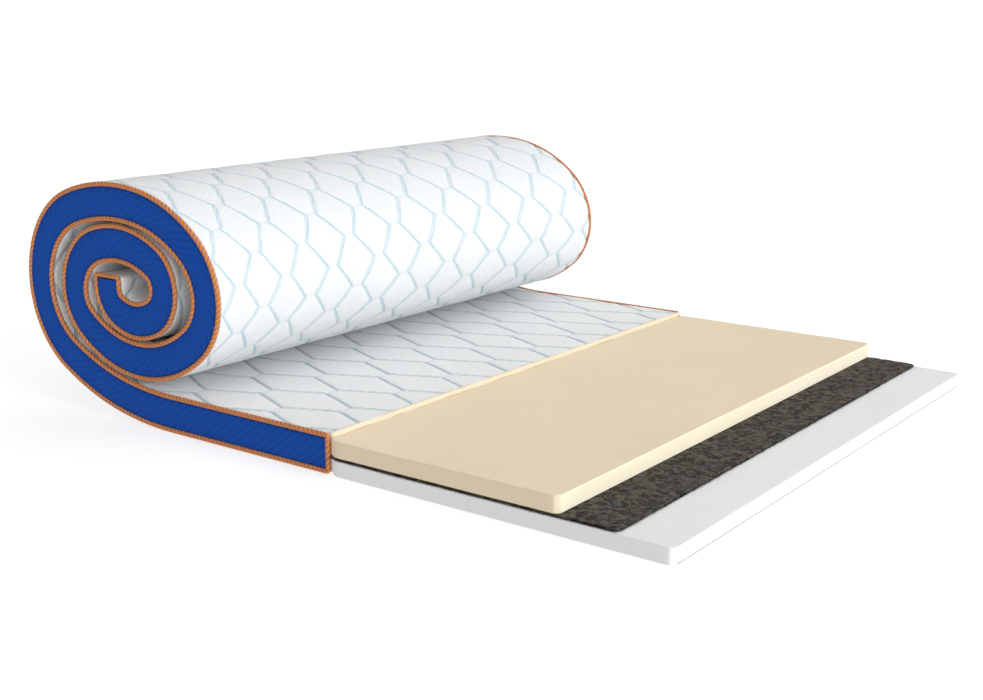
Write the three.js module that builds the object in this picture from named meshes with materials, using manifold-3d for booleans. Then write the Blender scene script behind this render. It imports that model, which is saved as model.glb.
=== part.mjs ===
// A roll-up pressure relief mattress (overlay), half unrolled. A quilted cover with side borders and
// corded piping holds three layers: white foam, thermo felt and cream foam. The cover is open at its
// +X end, where the layers stand out in steps. Units are millimetres, +Z is up, +X is along the
// mattress and the mattress lies on z = 0.
import * as THREE from "three";
import { mergeVertices } from "three/addons/utils/BufferGeometryUtils.js";
import Module from "manifold-3d";

const GAP = 0.3; // clearance between neighbouring pieces
const THICKNESS = 48; // over the piping
const HALF_WIDTH = 400; // over the piping
const FLAT_LENGTH = 258; // of cover, from its mouth to where the roll lifts off
const PIPING = 6;
const BASE_PANEL = 3;
const TOP_PANEL = 6;
const BORDER = 4;
const BORDER_INSET = 2; // the border's face lies this far inside the piping
const END_PANEL = 4; // the top panel where it wraps round the inner end

const CREAM_FOAM = { bottom: 22, top: 41.4, reach: 305 }; // heights, and length beyond the mouth
const FELT = { bottom: 18.6, top: 21.7, reach: 372 };
const WHITE_FOAM = { bottom: 3.3, top: 18.3, reach: 435 };
const FOAM_HALF_WIDTH = 400; // beyond the mouth, where the foam relaxes
const FELT_HALF_WIDTH = 398.5;
const HELD_HALF_WIDTH = HALF_WIDTH - PIPING - GAP; // of every layer inside the cover
const SLAB_CORNER = 9; // radius of the layers' corners, seen from above
const CORNER_FACETS = 5;

// The middle of the mattress's thickness rolls up through these tangent arcs, outermost first. Each arc
// is one rigid stretch of the roll: [radius, sweep in degrees].
const ROLL = [
  [450, 10], [336, 20], [103, 45], [107, 50], [102, 35], [243, 30],
  [180, 30], [83, 40], [69, 60], [152, 40], [153, 40], [53, 60],
  [64, 60], [125, 50], [38, 60], [39, 60], [67, 60], [31, 60],
];
const INNER_END = 9; // the straight stretch between the last arc and the end panel's piping
const FACET_DEGREES = 8; // largest turn between two facets
const LEAST_TURN = 1e-3; // radians: a facet corner closer to a cut than this is left out
const WELD = 1e-3; // vertices closer than this are one

const MIDDLE = THICKNESS / 2;
const LAST = ROLL.length - 1;
const toOffset = (height) => height - MIDDLE; // heights count from the middle, inwards in the roll
const PIVOT_OFFSET = toOffset(CREAM_FOAM.bottom); // the roll bends about the cream foam's underside

const wasm = await Module();
wasm.setup();

const colours = {
  knit: { color: 0xe4eaee, roughness: 0.9, metalness: 0 },
  border: { color: 0x184294, roughness: 0.85, metalness: 0 },
  piping: { color: 0xd67e2e, roughness: 0.8, metalness: 0 },
  creamFoam: { color: 0xe6d5b6, roughness: 0.85, metalness: 0 },
  whiteFoam: { color: 0xe8e8ea, roughness: 0.85, metalness: 0 },
  felt: { color: 0x46423c, roughness: 1, metalness: 0 },
};

const mattress = new THREE.Group();

function addPiece(name, geometry, colour) {
  const mesh = new THREE.Mesh(geometry, new THREE.MeshStandardMaterial(colours[colour]));
  mesh.name = name;
  mattress.add(mesh);
}

// The direction from an arc's line to its centre, as unit x and z, where the line runs along heading.
const inward = (heading) => [Math.sin(heading), -Math.cos(heading)];

// Each arc with its centre and the heading at its start, walked from the end of the flat stretch.
function walkArcs() {
  let [x, z, heading] = [-FLAT_LENGTH, MIDDLE, Math.PI];
  return ROLL.map(([radius, degrees]) => {
    const sweep = THREE.MathUtils.degToRad(degrees);
    const facets = Math.ceil(degrees / FACET_DEGREES);
    let [nx, nz] = inward(heading);
    const arc = { radius, sweep, facets, heading, cx: x + radius * nx, cz: z + radius * nz };
    heading -= sweep;
    [nx, nz] = inward(heading);
    x = arc.cx - radius * nx;
    z = arc.cz - radius * nz;
    return arc;
  });
}
const arcs = walkArcs();

// A point of the roll: turned is the angle from the arc's start, ahead a length past it on a tangent.
function rollPoint(arc, turned, offset, ahead = 0) {
  const heading = arc.heading - turned;
  const [nx, nz] = inward(heading);
  const radius = arc.radius - offset;
  return new THREE.Vector2(
    arc.cx - radius * nx + ahead * Math.cos(heading),
    arc.cz - radius * nz + ahead * Math.sin(heading),
  );
}

// The same on the arc's facets, so that layers cut between two facet corners keep their clearance.
function facetPoint(arc, turned, offset) {
  const step = arc.sweep / arc.facets;
  const before = Math.min(Math.floor(turned / step), arc.facets - 1);
  const start = rollPoint(arc, before * step, offset);
  return start.lerp(rollPoint(arc, (before + 1) * step, offset), turned / step - before);
}

// Points along one arc at an offset, from one angle to another, through the facet corners between.
function alongArc(arc, offset, from, to) {
  const points = [facetPoint(arc, from, offset)];
  for (let i = 1; i < arc.facets; i++) {
    const turned = (arc.sweep * i) / arc.facets;
    if (turned - from > LEAST_TURN && to - turned > LEAST_TURN) points.push(rollPoint(arc, turned, offset));
  }
  points.push(facetPoint(arc, to, offset));
  return points;
}

// Points along the whole roll at an offset.
const alongRoll = (offset) =>
  arcs.flatMap((arc, i) => alongArc(arc, offset, 0, arc.sweep).slice(i ? 1 : 0));

// A point past the layers' inner end.
const pastEnd = (offset, ahead) => rollPoint(arcs[LAST], arcs[LAST].sweep, offset, INNER_END + ahead);

// Points along the whole roll and the straight stretch after it, as far as the layers' end.
const toInnerEnd = (offset) => [...alongRoll(offset), pastEnd(offset, 0)];

// A side outline in x and z, given width along y, centred on middleY.
function acrossWidth(points, width, middleY = 0) {
  const outline = new THREE.Shape(points);
  const geometry = new THREE.ExtrudeGeometry(outline, { depth: width, bevelEnabled: false });
  return geometry.rotateX(Math.PI / 2).translate(0, middleY + width / 2, 0);
}

const sideRectangle = (x0, x1, z0, z1) =>
  [[x0, z0], [x1, z0], [x1, z1], [x0, z1]].map(([x, z]) => new THREE.Vector2(x, z));

// A level slab whose two corners at x1 are rounded. Its half width changes at x = 0.
function slab(x0, x1, z0, z1, heldHalfWidth, freeHalfWidth) {
  const outline = new THREE.Shape();
  outline.moveTo(x0, -heldHalfWidth);
  outline.lineTo(0, -heldHalfWidth);
  outline.lineTo(GAP, -freeHalfWidth);
  const [cornerX, cornerY] = [x1 - SLAB_CORNER, freeHalfWidth - SLAB_CORNER];
  outline.absarc(cornerX, -cornerY, SLAB_CORNER, -Math.PI / 2, 0, false);
  outline.absarc(cornerX, cornerY, SLAB_CORNER, 0, Math.PI / 2, false);
  outline.lineTo(GAP, freeHalfWidth);
  outline.lineTo(0, heldHalfWidth);
  outline.lineTo(x0, heldHalfWidth);
  const options = { depth: z1 - z0, bevelEnabled: false, curveSegments: CORNER_FACETS };
  return new THREE.ExtrudeGeometry(outline, options).translate(0, 0, z0);
}

// The first solid with the second cut away from it.
function cutAway(first, second) {
  const [kept, cutter] = [first, second].map((geometry) => {
    const bare = geometry.clone().deleteAttribute("normal").deleteAttribute("uv");
    const merged = mergeVertices(bare, WELD);
    return new wasm.Manifold(
      new wasm.Mesh({
        numProp: 3,
        vertProperties: merged.attributes.position.array,
        triVerts: new Uint32Array(merged.index.array),
      }),
    );
  });
  const mesh = kept.subtract(cutter).getMesh();
  const geometry = new THREE.BufferGeometry();
  geometry.setAttribute("position", new THREE.BufferAttribute(mesh.vertProperties, 3));
  geometry.setIndex(new THREE.BufferAttribute(mesh.triVerts, 1));
  return geometry;
}

// The turn, in degrees, that straightens the joint at the start of arc i when the roll is laid flat.
function straighteningTurn(i) {
  const sweepOf = (k) => (k === 0 ? 2 : 1) * ROLL[k][1]; // the flat mirrors the first arc
  return (sweepOf(i - 1) + sweepOf(i)) / 2;
}

// One rigid stretch of a layer. Below the pivots its ends lean away from their neighbours by half of
// each joint's turn, so that the stretches meet without overlapping when the roll is laid flat.
function stretch(i, layer) {
  const arc = arcs[i];
  const [low, high] = [toOffset(layer.bottom), toOffset(layer.top)];
  const leanOf = (joint) =>
    joint > 0 && joint <= LAST ? THREE.MathUtils.degToRad(straighteningTurn(joint) / 2) : 0;
  const cut = (offset, joint) => {
    const lean = Math.max(0, PIVOT_OFFSET - offset) * Math.tan(leanOf(joint));
    return Math.atan((lean + GAP / 2) / (arc.radius - offset));
  };
  const edge = (offset) =>
    i < LAST
      ? alongArc(arc, offset, cut(offset, i), arc.sweep - cut(offset, i + 1))
      : [...alongArc(arc, offset, cut(offset, i), arc.sweep), pastEnd(offset, 0)];
  return acrossWidth([...edge(low), ...edge(high).reverse()], 2 * HELD_HALF_WIDTH);
}

function addCover() {
  const [outside, inside] = [-MIDDLE, MIDDLE];
  const baseTop = toOffset(BASE_PANEL);
  const topUnder = toOffset(THICKNESS - TOP_PANEL);
  const [pipedLow, pipedHigh] = [toOffset(PIPING), toOffset(THICKNESS - PIPING)];
  const flatStart = -FLAT_LENGTH + GAP;
  const panelWidth = 2 * HELD_HALF_WIDTH;

  const flatPanel = (z0, z1) => acrossWidth(sideRectangle(flatStart, 0, z0, z1), panelWidth);
  addPiece("cover_base_flat", flatPanel(0, BASE_PANEL), "knit");
  addPiece("cover_top_flat", flatPanel(THICKNESS - TOP_PANEL, THICKNESS), "knit");

  const baseRoll = [
    ...alongRoll(outside), pastEnd(outside, PIPING),
    pastEnd(baseTop, PIPING), ...alongRoll(baseTop).reverse(),
  ];
  addPiece("cover_base_roll", acrossWidth(baseRoll, panelWidth), "knit");

  const endFoot = baseTop + GAP;
  const topRoll = [
    ...alongRoll(topUnder), pastEnd(topUnder, PIPING - END_PANEL), pastEnd(endFoot, PIPING - END_PANEL),
    pastEnd(endFoot, PIPING), pastEnd(inside, PIPING), ...alongRoll(inside).reverse(),
  ];
  addPiece("cover_top_roll", acrossWidth(topRoll, panelWidth), "knit");

  const flatBorder = sideRectangle(flatStart, -PIPING - GAP, PIPING + GAP, THICKNESS - PIPING - GAP);
  const rollBorder = [...toInnerEnd(pipedLow + GAP), ...toInnerEnd(pipedHigh - GAP).reverse()];
  const flatPiping = [
    [flatStart, 0], [0, 0], [0, THICKNESS], [flatStart, THICKNESS], [flatStart, THICKNESS - PIPING],
    [-PIPING, THICKNESS - PIPING], [-PIPING, PIPING], [flatStart, PIPING],
  ].map(([x, z]) => new THREE.Vector2(x, z));
  const rollPiping = [
    ...alongRoll(outside), pastEnd(outside, PIPING), pastEnd(inside, PIPING),
    ...alongRoll(inside).reverse(), ...alongRoll(pipedHigh), pastEnd(pipedHigh, GAP),
    pastEnd(pipedLow, GAP), ...alongRoll(pipedLow).reverse(),
  ];
  for (const [side, sign] of [["near", -1], ["far", 1]]) {
    const borderY = sign * (HALF_WIDTH - BORDER_INSET - BORDER / 2);
    const pipingY = sign * (HALF_WIDTH - PIPING / 2);
    addPiece(`border_${side}_flat`, acrossWidth(flatBorder, BORDER, borderY), "border");
    addPiece(`border_${side}_roll`, acrossWidth(rollBorder, BORDER, borderY), "border");
    addPiece(`piping_${side}_flat`, acrossWidth(flatPiping, PIPING, pipingY), "piping");
    addPiece(`piping_${side}_roll`, acrossWidth(rollPiping, PIPING, pipingY), "piping");
  }
}

function addLayers() {
  const start = -FLAT_LENGTH + GAP;
  const level = (layer, freeHalfWidth) =>
    slab(start, layer.reach, layer.bottom, layer.top, HELD_HALF_WIDTH, freeHalfWidth);
  addPiece("cream_foam_flat", level(CREAM_FOAM, FOAM_HALF_WIDTH), "creamFoam");
  addPiece("felt_flat", level(FELT, FELT_HALF_WIDTH), "felt");

  // Beyond the mouth the white foam relaxes down to what the mattress lies on. Inside the cover it
  // lies on the base panel.
  const whole = slab(start, WHITE_FOAM.reach, 0, WHITE_FOAM.top, HELD_HALF_WIDTH, FOAM_HALF_WIDTH);
  const underHeldPart = new THREE.BoxGeometry(2 * FLAT_LENGTH, 3 * HALF_WIDTH, THICKNESS);
  underHeldPart.translate(-FLAT_LENGTH, 0, WHITE_FOAM.bottom - THICKNESS / 2);
  addPiece("white_foam_flat", cutAway(whole, underHeldPart), "whiteFoam");

  const feltEdge = (height) => toInnerEnd(toOffset(height));
  const feltRoll = [...feltEdge(FELT.bottom), ...feltEdge(FELT.top).reverse()];
  addPiece("felt_roll", acrossWidth(feltRoll, 2 * HELD_HALF_WIDTH), "felt");

  for (let i = 0; i <= LAST; i++) {
    const number = String(i).padStart(2, "0");
    addPiece(`cream_foam_${number}`, stretch(i, CREAM_FOAM), "creamFoam");
    addPiece(`white_foam_${number}`, stretch(i, WHITE_FOAM), "whiteFoam");
  }
}

addCover();
addLayers();

// The origin is under the middle of the whole object.
const bounds = new THREE.Box3().setFromObject(mattress);
mattress.position.x = -(bounds.min.x + bounds.max.x) / 2;

export default mattress;
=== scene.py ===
import math

import bpy
import numpy as np
from mathutils import Matrix, Vector


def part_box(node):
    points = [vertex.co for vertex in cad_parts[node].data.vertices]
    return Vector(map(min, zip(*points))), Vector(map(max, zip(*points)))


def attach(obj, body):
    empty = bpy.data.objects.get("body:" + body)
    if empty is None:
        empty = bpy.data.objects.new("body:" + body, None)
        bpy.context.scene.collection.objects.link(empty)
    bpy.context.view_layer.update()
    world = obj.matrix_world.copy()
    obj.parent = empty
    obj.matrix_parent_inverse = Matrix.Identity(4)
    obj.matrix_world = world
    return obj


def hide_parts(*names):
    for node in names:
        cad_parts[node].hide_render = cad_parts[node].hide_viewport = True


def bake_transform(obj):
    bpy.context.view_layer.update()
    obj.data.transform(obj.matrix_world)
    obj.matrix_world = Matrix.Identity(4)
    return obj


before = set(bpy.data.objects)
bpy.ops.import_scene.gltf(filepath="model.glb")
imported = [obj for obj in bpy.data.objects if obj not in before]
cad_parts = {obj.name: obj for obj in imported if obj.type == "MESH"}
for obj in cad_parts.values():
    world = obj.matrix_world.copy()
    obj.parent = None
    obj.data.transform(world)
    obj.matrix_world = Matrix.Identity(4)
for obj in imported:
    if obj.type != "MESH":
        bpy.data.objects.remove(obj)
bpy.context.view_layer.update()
MM = 0.001

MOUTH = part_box("cover_top_flat")[1].x  # where the cover ends and the layers stand out of it
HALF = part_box("piping_far_flat")[1].y  # half the mattress's width
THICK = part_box("cover_top_flat")[1].z

# ---------------------------------------------------------------- camera
AZIMUTH, ELEVATION, TILT = (math.radians(a) for a in (36.275, 13.874, -0.2605))
CAMERA_PLACE = (MOUTH + 1.0150, -HALF - 1.0790, 0.5071)
SENSOR_WIDTH, FOCAL_LENGTH = 36, 51.19  # mm


def add_camera():
    back = Vector(
        (
            math.sin(AZIMUTH) * math.cos(ELEVATION),
            -math.cos(AZIMUTH) * math.cos(ELEVATION),
            math.sin(ELEVATION),
        )
    )
    right = Vector((math.cos(AZIMUTH), math.sin(AZIMUTH), 0))
    up = back.cross(right)
    c, s = math.cos(TILT), math.sin(TILT)
    right, up = c * right - s * up, s * right + c * up
    data = bpy.data.cameras.new("camera")
    camera = bpy.data.objects.new("camera", data)
    bpy.context.scene.collection.objects.link(camera)
    camera.matrix_world = Matrix(
        [
            [right.x, up.x, back.x, CAMERA_PLACE[0]],
            [right.y, up.y, back.y, CAMERA_PLACE[1]],
            [right.z, up.z, back.z, CAMERA_PLACE[2]],
            [0, 0, 0, 1],
        ]
    )
    data.sensor_width, data.lens = SENSOR_WIDTH, FOCAL_LENGTH
    data.clip_start, data.clip_end = 0.05, 50
    bpy.context.scene.camera = camera


add_camera()

# ---------------------------------------------------------------- the strip
# Everything in the cover is placed by strip coordinates: s along the middle of the thickness from the
# cover's mouth, y across, and h up from the underside. These are the CAD's rolled arcs: radius in mm,
# sweep in degrees. Each is one rigid stretch of the roll.
ROLL = [
    [450, 10], [336, 20], [103, 45], [107, 50], [102, 35], [243, 30],
    [180, 30], [83, 40], [69, 60], [152, 40], [153, 40], [53, 60],
    [64, 60], [125, 50], [38, 60], [39, 60], [67, 60], [31, 60],
]  # fmt: skip
FLAT = 0.258  # the laid stretch, from the mouth to where the roll begins
INNER_END = 0.009  # a straight stretch between the last arc and the end panel
RADIUS = np.array([r * MM for r, _ in ROLL])
SWEEP = np.radians([d for _, d in ROLL])
START = FLAT + np.concatenate([[0], np.cumsum(RADIUS * SWEEP)])
TOTAL = START[-1] + INNER_END
HEADING = math.pi - np.concatenate([[0], np.cumsum(SWEEP)])[:-1]
HINGES = len(ROLL) - 1


def arc_centres():
    x, z = MOUTH - FLAT, THICK / 2
    out = []
    for radius, sweep, heading in zip(RADIUS, SWEEP, HEADING):
        cx, cz = x + radius * math.sin(heading), z - radius * math.cos(heading)
        out.append((cx, cz))
        turned = heading - sweep
        x, z = cx - radius * math.sin(turned), cz + radius * math.cos(turned)
    return np.array(out)


CENTRE = arc_centres()
# A hinge's piece of cover runs from the middle of one rigid stretch to the middle of the next.
SEAMS = np.concatenate([[FLAT], START[1:-1] + RADIUS[1:] * SWEEP[1:] / 2])


def place(s, y, h):
    """Points in the row frame at strip coordinates, which broadcast."""
    s, y, h = np.broadcast_arrays(s, y, h)
    o = h - THICK / 2
    k = np.clip(np.searchsorted(START, s, side="right") - 1, 0, HINGES)
    turned = np.clip((s - START[k]) / RADIUS[k], 0, SWEEP[k])
    heading = HEADING[k] - turned
    nx, nz = np.sin(heading), -np.cos(heading)
    ahead = np.maximum(s - START[-1], 0)
    x = CENTRE[k, 0] - (RADIUS[k] - o) * nx + ahead * np.cos(heading)
    z = CENTRE[k, 1] - (RADIUS[k] - o) * nz + ahead * np.sin(heading)
    flat = s < FLAT
    x = np.where(flat, MOUTH - s, x)
    z = np.where(flat, THICK / 2 + o, z)
    return np.stack([x, y, z], -1)


def stations(step, start=0.0, end=TOTAL):
    """Values of s from start to end that include every seam, and the rows at which each seam is."""
    knots = [start, *[m for m in SEAMS if start < m < end], end]
    rows, marks = [np.array([start])], [0]
    for a, b in zip(knots, knots[1:]):
        n = max(2, round((b - a) / step))
        rows.append(np.linspace(a, b, n + 1)[1:])
        marks.append(marks[-1] + n)
    return np.concatenate(rows), marks


def smooth(t):
    t = np.clip(t, 0, 1)
    return t * t * (3 - 2 * t)


def value_noise(x, y, size, seed):
    """Smooth noise from -1 to 1 over x and y, with features of that size."""
    table = np.random.default_rng(seed).uniform(-1, 1, (257, 257))
    u, v = np.asarray(x) / size, np.asarray(y) / size
    i, j = np.floor(u).astype(int), np.floor(v).astype(int)
    fu, fv = smooth(u - i), smooth(v - j)
    i, j = i % 256, j % 256
    return (
        table[i, j] * (1 - fu) * (1 - fv)
        + table[i + 1, j] * fu * (1 - fv)
        + table[i, j + 1] * (1 - fu) * fv
        + table[i + 1, j + 1] * fu * fv
    )


# ---------------------------------------------------------------- quilting
# Elongated hexagons. u counts columns of short stitched edges along the strip, v half pitches across.
PITCH = 0.096
TOP_COLUMN = 0.0652
TOP_EVEN_COLUMN = 0.1156  # the place of a column that counts as even
TOP_EVEN_ROW = 0.037  # the same for a row, from the near edge
EDGE_SHARE = 0.21  # of the pitch: the short edges' length


def top_quilt(s, y):
    s, y = np.broadcast_arrays(s, y)
    u = (s - TOP_EVEN_COLUMN) / TOP_COLUMN
    v = (y + HALF - TOP_EVEN_ROW) / (PITCH / 2)
    return np.stack([u, v, np.full(s.shape, TOP_COLUMN / MM)], -1)


BASE_COLUMN, NARROWEST_COLUMN = 0.044, 0.024
NARROW_AT, NARROW_REACH = 1.000, 0.110  # where along the strip the columns are narrowest, and how far
BASE_EVEN_COLUMN = 0.988
FARTHEST_LAG = 0.0083  # how far the columns run off square towards the near edge
# The underside's row w lies this many mm from the near edge: ROW_START + ROW_PITCH w + ROW_GROWTH w^2.
ROW_START, ROW_PITCH, ROW_GROWTH = 155, 83, 3


def base_column(s):
    """The underside's columns lie closer than the top's, and closest low on the outer turn."""
    return BASE_COLUMN - (BASE_COLUMN - NARROWEST_COLUMN) * np.exp(-(((s - NARROW_AT) / NARROW_REACH) ** 2))


def base_quilt(s, y):
    s, y = np.broadcast_arrays(s, y)
    across = (y + HALF) / MM
    lag = np.interp(across, [200, 265, 355, 455, 540, 800], [1, 0.85, 0.4, 0.15, 0.05, 0])
    lag = lag * np.interp(s, [0.91, 0.937, 0.965, 0.988, 1.013, 1.04], [1, 0.7, 0.65, 0.55, 0.1, 0])
    fine = np.arange(-0.05, TOTAL + 0.05, 0.0005)
    count = np.concatenate([[0], np.cumsum(np.diff(fine) / base_column(fine[1:]))])
    u = np.interp(s - FARTHEST_LAG * lag, fine, count) - np.interp(BASE_EVEN_COLUMN, fine, count)
    root = np.sqrt(np.maximum(ROW_PITCH**2 + 4 * ROW_GROWTH * (across - ROW_START), 0))
    v = 2 * (root - ROW_PITCH) / (2 * ROW_GROWTH)
    k = np.clip(np.searchsorted(START, s, side="right") - 1, 0, HINGES)
    stretch = np.where(s < FLAT, 1, 1 + THICK / 2 / RADIUS[k])
    return np.stack([u, v, base_column(s) * stretch / MM], -1)


def ping(t):
    t = np.abs(t) % 2
    return np.minimum(t, 2 - t)


def stitch_distances(quilt):
    """Distances in mm to the nearest short edge and to the nearest slanting edge."""
    column, half = quilt[..., 2], PITCH / 2 / MM
    edge = EDGE_SHARE * half
    x, y = ping(quilt[..., 0]) * column, ping(quilt[..., 1]) * half
    first = np.hypot(x, np.maximum(y - edge, 0))
    second = np.hypot(column - x, np.maximum(half - edge - y, 0))
    rise = half - 2 * edge
    slant = np.abs((y - edge) * column - x * rise) / np.hypot(column, rise)
    return np.minimum(first, second), slant


GROOVE_DEPTH, GROOVE_WIDTH = 1.05, 2.6  # mm, of a slanting stitched line
SHORT_SHARE = 0.45  # of that depth: a short edge's groove
HOLLOW_DEPTH, HOLLOW_WIDTH = 0.75, 8.0  # mm, of the cloth drawn down beside a line


def quilt_dip(quilt, s, y):
    """How far below its highest level the quilted surface lies, in metres."""
    short, slant = stitch_distances(quilt)
    short_groove = SHORT_SHARE * np.exp(-((short / GROOVE_WIDTH) ** 2))
    groove = np.maximum(short_groove, np.exp(-((slant / GROOVE_WIDTH) ** 2)))
    dip = GROOVE_DEPTH * groove + HOLLOW_DEPTH * np.exp(-np.minimum(short + 2.0, slant) / HOLLOW_WIDTH)
    ripple = 0.12 * (1 + value_noise(s, y, 0.022, 3)) + 0.10 * (1 + value_noise(s, y, 0.07, 4))
    return (dip + ripple) * MM


# ---------------------------------------------------------------- meshes
def make_mesh(name, points, quads, ngons=(), normals=None, attributes=None, face_attributes=None):
    """A mesh object with smooth shading. attributes hold a value or vector for each point."""
    mesh = bpy.data.meshes.new(name)
    loops = np.concatenate([quads.ravel(), *[np.asarray(n) for n in ngons]]).astype(np.int32)
    sizes = np.concatenate([np.full(len(quads), 4), [len(n) for n in ngons]]).astype(np.int32)
    mesh.vertices.add(len(points))
    mesh.vertices.foreach_set("co", points.astype(np.float32).ravel())
    mesh.loops.add(len(loops))
    mesh.loops.foreach_set("vertex_index", loops)
    mesh.polygons.add(len(sizes))
    begins = np.concatenate([[0], np.cumsum(sizes)[:-1]]).astype(np.int32)
    mesh.polygons.foreach_set("loop_start", begins)
    mesh.polygons.foreach_set("use_smooth", np.ones(len(sizes), bool))
    mesh.update(calc_edges=True)
    for key, values in (attributes or {}).items():
        kind = "FLOAT_VECTOR" if values.ndim == 2 else "FLOAT"
        attribute = mesh.attributes.new(key, kind, "POINT")
        field = "vector" if values.ndim == 2 else "value"
        attribute.data.foreach_set(field, values.astype(np.float32).ravel())
    for key, values in (face_attributes or {}).items():
        attribute = mesh.attributes.new(key, "FLOAT", "FACE")
        attribute.data.foreach_set("value", values.astype(np.float32))
    if normals is not None:
        mesh.normals_split_custom_set_from_vertices(normals.astype(np.float32))
    piece = bpy.data.objects.new(name, mesh)
    bpy.context.scene.collection.objects.link(piece)
    return piece


def grid_quads(rows, columns, closed, flip=False):
    i, j = np.meshgrid(np.arange(rows - 1), np.arange(columns if closed else columns - 1), indexing="ij")
    a, b = i * columns + j, i * columns + (j + 1) % columns
    quads = np.stack([a, a + columns, b + columns, b], -1).reshape(-1, 4)
    return quads[:, ::-1] if flip else quads


def grid_normals(points, closed, flip=False):
    along = np.gradient(points, axis=0)
    if closed:
        across = np.roll(points, -1, 1) - np.roll(points, 1, 1)
    else:
        across = np.gradient(points, axis=1)
    normals = np.cross(along, across)
    normals /= np.maximum(np.linalg.norm(normals, axis=-1, keepdims=True), 1e-12)
    return -normals if flip else normals


class Grid:
    """A surface over strip coordinates, made whole so that the pieces cut from it meet exactly."""

    def __init__(self, s, y, h, closed=True, flip=False, quilt=None, columns=None, normals=True):
        s, y, h = np.broadcast_arrays(s, y, h)
        self.points = place(s, y, h)
        self.strip = np.stack([s, y, h], -1)
        self.quilt = quilt
        self.closed, self.flip, self.columns = closed, flip, columns
        self.normals = grid_normals(self.points, closed, flip) if normals else None

    def cut(self, name, first, last, caps=(False, False)):
        """The piece between two rows, both included."""
        part = slice(first, last + 1)
        points = self.points[part]
        rows, columns = points.shape[:2]
        quads = grid_quads(rows, columns, self.closed, self.flip)
        ends = [np.arange(columns), (rows - 1) * columns + np.arange(columns)]
        ngons = []
        if caps[0]:
            ngons.append(ends[0][::-1] if self.flip else ends[0])
        if caps[1]:
            ngons.append(ends[1] if self.flip else ends[1][::-1])
        attributes = {"strip": self.strip[part].reshape(-1, 3)}
        if self.quilt is not None:
            attributes["quilt"] = self.quilt[part].reshape(-1, 3)
        faces = None
        if self.columns is not None:
            faces = {"strand": np.concatenate([np.tile(self.columns, rows - 1), np.zeros(len(ngons))])}
        normals = None
        if self.normals is not None:
            normals = self.normals[part].reshape(-1, 3)
        return make_mesh(name, points.reshape(-1, 3), quads, ngons, normals, attributes, faces)


def join_grids(grids):
    """Several closed grids together: points, quads, strip coordinates, and each grid's count of quads."""
    points, quads, strip, base = [], [], [], 0
    for g in grids:
        rows, columns = g.points.shape[:2]
        quads.append(grid_quads(rows, columns, True, g.flip) + base)
        points.append(g.points.reshape(-1, 3))
        strip.append(g.strip.reshape(-1, 3))
        base += rows * columns
    counts = [len(q) for q in quads]
    return np.concatenate(points), np.concatenate(quads), np.concatenate(strip), counts


def along_strip(piece):
    """The s of each of a piece's points."""
    strip = np.zeros(len(piece.data.vertices) * 3, np.float32)
    piece.data.attributes["strip"].data.foreach_get("vector", strip)
    return strip[::3]


def number(k):
    return f"{k:02d}"


BODIES = ["laid_part", *[f"roll_{number(k)}" for k in range(1, HINGES + 1)]]
LAST_BODY = BODIES[-1]


def bend(piece, hinge):
    """Bakes the piece's transform and works out weights that follow s between the hinge's two seams;
    nothing applies them, so the piece does not bend.
    """
    low, high = SEAMS[hinge - 1], SEAMS[hinge]
    start, end = place(low, 0, THICK / 2), place(high, 0, THICK / 2)
    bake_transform(piece)
    weight = smooth((along_strip(piece) - low) / (high - low))


def finish_piece(piece, materials, nodes, body=None, hinge=None):
    for material in materials if isinstance(materials, list) else [materials]:
        piece.data.materials.append(material)
    if hinge is None:
        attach(piece, body)
    else:
        bend(piece, hinge)
    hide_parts(*nodes)
    return piece


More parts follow.
